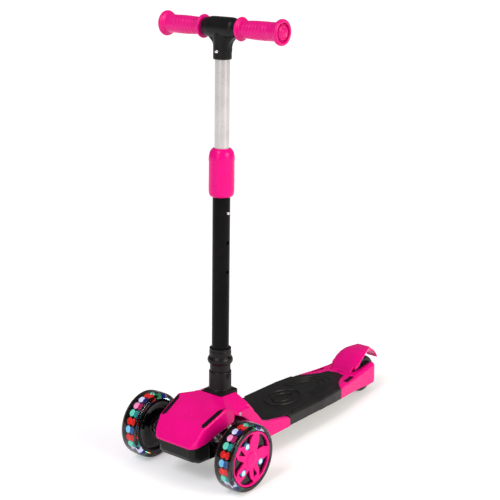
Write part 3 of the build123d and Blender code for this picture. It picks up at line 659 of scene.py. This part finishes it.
def add_grip(name, side):
    """Flanged grip with finger ribs, its end dished round the plug."""
    at = place(middle("cross_tube"), (side, 0, 0))
    outline = [(11.05, 38.2), (18.6, 38.2, 1.4), (20.1, 40.2, 1.2), (19.2, 42.4, 1.4), (13.8, 43.8, 1.2)]
    for rib in range(GRIP_RIBS):
        start = FIRST_RIB + rib * RIB_PITCH
        swell = GRIP_R + GRIP_SWELL * math.sin(math.pi * (rib + 1) / 12)
        outline += [(swell - RIB_DEPTH, start, 0.5), (swell, start + 1.2, 0.6),
                    (swell, start + 4.6, 0.6), (swell - RIB_DEPTH, start + 5.8, 0.5)]
    outline += [(15.4, 103.5, 1), (15.4, 116.5, 2), (20.2, 119.2, 1.4), (21.5, 122.4, 1.2), (21, 125.8, 1.6),
                (18.2, 127.4, 1.2), (15.8, 126.4, 0.8), (15.2, 121.6, 1), (11.05, 121.2)]
    turned(f"handle_{name}", at, outline, GRIP, "handlebar", f"grip_{name}")


def add_plugs():
    """Domed end plugs with a shallow ring, seated in the grips' dished ends."""
    mesh = bmesh.new()
    for _, side in SIDES:
        at = place(middle("cross_tube"), (side, 0, 0))
        lathe(mesh, at, [
            (0, 106), (9.5, 106), (9.5, 118.3), (12.6, 121.4, 0.8), (12.6, 125.2, 1.2),
            (9.8, 127.2, 1), (8.2, 126, 0.6), (5.5, 128.6, 1.2), (0, 129.4)], 64)
    dress(new_object("bar_plugs", mesh), GRIP, "handlebar", "grip_plugs")


def add_tee():
    """Moulded T-joint: upright sleeve, cross sleeve with slimmer ends, flared webs between them,
    the tubes' and the button's bores, and a low rim round the button."""
    mesh = bmesh.new()
    foot = column(TEE_FOOT)
    lathe(mesh, foot, [
        (0, 0), (15.4, 0, 0.6), (15.7, 2), (15.7, 24), (16.6, 40, 4), (16.6, 60), (0, 60)], 72)
    for _, side in SIDES:
        at = place(middle("cross_tube"), (side, 0, 0))
        lathe(mesh, at, [
            (0, -2), (18, -2), (18, 18, 3), (17.4, 25, 2), (15.9, 28.6, 1), (15.6, 31),
            (15.6, 34.6, 0.6), (14.4, 35.5, 0.4), (0, 35.5)], 72)
    front = place(middle("cross_tube"), (0, -1, 0), (1, 0, 0))
    web = [(-15, -40), (-15.2, -33), (-17.5, -24, 4), (-29, TEE_WEB_DROP, 5), (-28, 4), (28, 4),
           (29, TEE_WEB_DROP, 5), (17.5, -24, 4), (15.2, -33), (15, -40)]
    prism(mesh, front, web, -9, 9, 3)
    tee = new_object("t_piece", mesh)
    mould(tee, 0.7, 9)
    button = place(middle("tee_button"), (0, -1, 0), (1, 0, 0))
    cuts = []
    for at, radius, low, high in (
            (place(middle("cross_tube"), (1, 0, 0)), BAR_BORE, -50, 50),
            (foot, TUBE_BORE, -5, 36),
            (button, 3.9, -16, 10)):
        cut = bmesh.new()
        lathe(cut, at, [(0, low), (radius, low), (radius, high), (0, high)], 48)
        cuts.append(cut)
    combine(tee, "DIFFERENCE", *cuts)
    dress(tee, BLACK, "handlebar", "t_joint")
    reach = (middle("tee_button").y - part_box("t_joint")[0].y) / MM - 3
    ring = bmesh.new()
    sweep(ring, button, [(x, y, reach) for x, y in oval(6.2, 5.2, 48)], oval(0.8, 0.8, 8), closed=True)
    dress(new_object("t_button_rim", ring), BLACK, "handlebar")


def add_column():
    """Pink clamp collar, ribbed foot collar and the moulded socket."""
    clamp = [
        (15.25, 0), (19, 0, 1.5), (21.6, 4, 2), (22.2, 12, 3), (21.9, 60, 0.6), (22.3, 62, 0.6),
        (22.3, 69, 3), (20, 78, 4), (15.5, 82.6, 1.5), (13.1, 83, 0.4), (13.1, 57.6), (15.25, 57.6)]
    turned("clamp_sleeve", column(CLAMP_FOOT), clamp, PINK, "frame", "clamp_collar")
    rings = [
        (15.25, 0.3), (18.2, 0.3, 0.4), (18.4, 13, 0.8), (20.6, 14.2, 1), (22.6, 18, 1.6),
        (22.6, 22, 1.6), (20.6, 26, 1), (19.4, 27.4, 0.5), (19.6, 36, 0.6), (18.9, 38.4, 0.6),
        (19.4, 41.6, 0.6), (17.2, 42.5, 0.5), (15.25, 42.5)]
    foot = turned("foot_rings", column(COLLAR_FOOT), rings, BLACK, "frame", "foot_collar")
    cut = bmesh.new()
    side_hole = place(column(COLLAR_HOLE).translation, (1, 0, 0))
    lathe(cut, side_hole, [(0, 17), (2.2, 17), (2.2, 30), (0, 30)], 32)
    combine(foot, "DIFFERENCE", cut)
    dress(foot, BLACK, "frame")
    socket = node_copy("column_socket", "steering_socket")
    mould(socket, 0.6, 3)
    dress(socket, BLACK, "frame", "steering_socket")


def add_buttons():
    """Snap buttons with domed heads."""
    for name, out, radius, material in (
            ("height", (1, 0, 0), 3.0, CHROME),
            ("release", (1, 0, 0), 4.1, BLACK),
            ("tee", (0, -1, 0), 3.4, CHROME)):
        low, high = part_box(f"{name}_button")
        length = (high - low).dot(Vector([abs(v) for v in out])) / MM
        at = place(middle(f"{name}_button"), out, (0, 0, 1))
        half = length / 2
        outline = [
            (0, -half), (radius + 1.2, -half, 0.3), (radius + 1.2, 1.2 - half, 0.3), (radius, 1.2 - half),
            (radius, half - 1.8, 0.4), (radius * 0.72, half - 0.4, 0.5), (0, half)]
        turned(f"{name}_snap", at, outline, material, f"{name}_button", f"{name}_button", steps=40)


SPRING_LEAF = 0.8            # thickness
SPRING_BACKSET = 4.2         # the springs are drawn pressed, clear of the buttons' travel


def add_springs():
    """U-shaped leaf springs behind the snap buttons."""
    for name, out in (("height", (1, 0, 0)), ("release", (1, 0, 0)), ("tee", (0, -1, 0))):
        low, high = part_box(f"{name}_spring")
        reach = (high - low).dot(Vector([abs(v) for v in out])) / MM / 2
        lift = (high - low).z / MM / 2
        front = reach - SPRING_BACKSET
        outline = [
            (front, 1 - lift, 1), (front, lift), (front - SPRING_LEAF, lift),
            (front - SPRING_LEAF, SPRING_LEAF - lift), (SPRING_LEAF - reach, SPRING_LEAF - lift),
            (SPRING_LEAF - reach, lift - 2), (-reach, lift - 2), (-reach, 1 - lift, 1),
            (1 - reach, -lift), (front - 1, -lift)]
        mesh = bmesh.new()
        at = place(middle(f"{name}_spring"), Vector(out).cross((0, 0, 1)), out)
        prism(mesh, at, outline, -3, 3)
        body = "frame" if name == "release" else "handlebar"
        dress(new_object(f"{name}_leaf", mesh), SPRING, body, f"{name}_spring")


# ------------------------------------------------------------------------------ body

def add_shells():
    """Hood, tray, deck, tail cover and fender, moulded from their CAD shapes."""
    for name, node, grain, passes, material, body in (
            ("hood", "nose_cover", 0.9, 5, PINK, "frame"),
            ("belly_tray", "nose_tray", 1.0, 6, BLACK, "frame"),
            ("foot_deck", "deck", 1.3, 3, DECK, "frame"),
            ("tail_shell", "rear_cover", 0.9, 4, PINK, "frame"),
            ("fender", "brake_fender", 0.7, 5, PINK, "brake")):
        shell = node_copy(name, node)
        mould(shell, grain, passes)
        if name == "fender":
            crown(shell)
        dress(shell, material, body, node)


CROWN_FROM = 8.0             # half the flat middle of the fender
CROWN_DROP = 0.012           # droop per square millimetre beyond it
FENDER_FOOT = 446.0          # behind the front axle
FENDER_TAB = 522.0


def crown(fender):
    """Let the fender's wings droop to the sides between its foot and its heel tab."""
    for vertex in fender.data.vertices:
        back = vertex.co.y / MM - FRONT_AXLE
        swell = min(1.0, max(0.0, (back - FENDER_FOOT) / 12)) * min(1.0, max(0.0, (FENDER_TAB - back) / 14))
        beyond = max(0.0, abs(vertex.co.x) / MM - CROWN_FROM)
        vertex.co.z -= CROWN_DROP * beyond * beyond * swell * MM


# (behind the front axle, aside) round a vent's edge and its dished face
VENT_LIP = ((-35.4, 45), (-30.5, 41.2), (7, 45.6), (16.5, 52.6), (1, 52.2), (-31.5, 48.7))
VENT = ((-33.9, 45), (-29.9, 42.2), (6.6, 46.4), (14.4, 51.7), (1.6, 51.3), (-30.9, 47.8))
HOOD_RISE = ((-35, 107.0), (12, 125.5))      # (behind the front axle, height) where the hood rises


def add_vents():
    """Black plates set in the hood's two side slots, dished a little inside their edges."""
    (start, low), (end, high) = HOOD_RISE
    mesh = bmesh.new()
    for _, side in SIDES:
        rings = []
        for outline, rise in ((VENT, -2.4), (VENT_LIP, -0.6), (VENT_LIP, 0.5), (VENT, 0.15)):
            ring = []
            for y, x in outline:
                z = low + (high - low) * (y - start) / (end - start) + rise
                ring.append(mesh.verts.new(LEVEL @ Vector((side * x, behind(y), z))))
            rings.append(ring)
        join_rings(mesh, rings, closed=False)
        mesh.faces.new(rings[0])
        mesh.faces.new(list(reversed(rings[-1])))
    dress(new_object("hood_vents", mesh), BLACK, "frame", sharp=20)


def add_screws():
    """Socket-headed screws through the hood's arms."""
    low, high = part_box("cover_screws")
    mesh = bmesh.new()
    for _, side in SIDES:
        seat = Vector((side * high.x, (low.y + high.y) / 2, (low.z + high.z) / 2))
        lathe(mesh, place(seat, (side, 0, 0)), [
            (0, -8.2), (1.6, -8.2), (1.6, -1.8), (3, -1.8), (3.1, -0.7, 0.3), (2.4, 0, 0.4), (1.5, 0, 0.2),
            (1.5, -1.4), (0, -1.4)], 40)
    dress(new_object("arm_screws", mesh), STEEL, "frame", "cover_screws")


DECK_TREE = BVHTree.FromObject(frame["nodes"]["deck"], bpy.context.evaluated_depsgraph_get())
OVAL_AT = 247.0              # behind the front axle


def deck_height(x, y):
    """Height of the CAD deck's top, in millimetres, found from above."""
    above = Vector((x, y, 200)) * MM
    hit = DECK_TREE.ray_cast(above, Vector((0, 0, -1)))
    return hit[0].z / MM


def ridge(mesh, path, width, height, closed=False):
    """A low rounded rib on the deck along (x, behind the axle) points."""
    lifted = [(x, behind(y), deck_height(x, behind(y))) for x, y in path]
    half = width / 2
    section = [(-half, -0.5), (half, -0.5), (half * 0.8, height * 0.6), (half * 0.4, height),
               (-half * 0.4, height), (-half * 0.8, height * 0.6)]
    sweep(mesh, LEVEL, lifted, section, closed)


def bow(width, start, length, steps=36):
    """An arch across the deck, open towards the front."""
    points = []
    for step in range(steps + 1):
        a = math.pi * step / steps
        points.append((width * math.cos(a), start + length * math.sin(a) ** 0.8))
    return points


def add_deck_grip():
    """Raised grip pattern: two ovals where the foot rests, arches behind them, and edge lips."""
    mesh = bmesh.new()
    for a, b in ((29, 42), (15, 24)):
        ridge(mesh, [(x, OVAL_AT + y) for x, y in oval(a, b, 72)], 5.2, 2.2, closed=True)
    for width, start, length in ((38, 300, 88), (31, 300, 72), (24, 300, 56)):
        ridge(mesh, bow(width, start, length), 2.6, 1.2)
    for _, side in SIDES:
        lip = [(side * x, y) for x, y in ((56.5, 204), (56.5, 250), (56.5, 298), (54.8, 322), (53, 345))]
        ridge(mesh, lip, 4.5, 1.4)
    dress(new_object("deck_grip", mesh), DECK, "frame")


def add_rear_wheel():
    """Black rear tyre with a rounded tread."""
    hub = place(middle("rear_tyre"), (1, 0, 0))
    tread = [
        (26.05, -20), (28, -22.8, 1), (33.6, -23, 1.6), (36.4, -20.4, 1.6), (37.6, -14, 3), (38, 0, 6),
        (37.6, 14, 3), (36.4, 20.4, 1.6), (33.6, 23, 1.6), (28, 22.8, 1), (26.05, 20)]
    turned("rear_tread", hub, tread, TYRE_BLACK, "rear_wheel", "rear_tyre", steps=120)


# ------------------------------------------------------------------------------ build

dress_nodes()
add_camera()
add_floor()
add_world()
add_sun("front", azimuth=356, elevation=52, strength=1.0, softness=25, colour=(0.97, 0.94, 1.0))
add_sun("side", azimuth=96, elevation=24, strength=1.9, softness=30, colour=(1.0, 0.9, 0.74))
add_softbox("key", azimuth=6, elevation=26, distance=2.6, width=0.45, height=1.6, power=12)
add_softbox("edge", azimuth=92, elevation=16, distance=2.6, width=0.3, height=1.6, power=4)

for wheel_name, wheel_side in SIDES:
    add_tyre(wheel_name, wheel_side)
    add_core(wheel_name, wheel_side)
    add_beads(wheel_name, wheel_side)
    add_cover(wheel_name, wheel_side)
    add_rim_lights(wheel_name, wheel_side)
    add_grip(wheel_name, wheel_side)
add_plugs()
add_tee()
add_column()
add_buttons()
add_springs()
add_shells()
add_vents()
add_screws()
add_deck_grip()
add_rear_wheel()
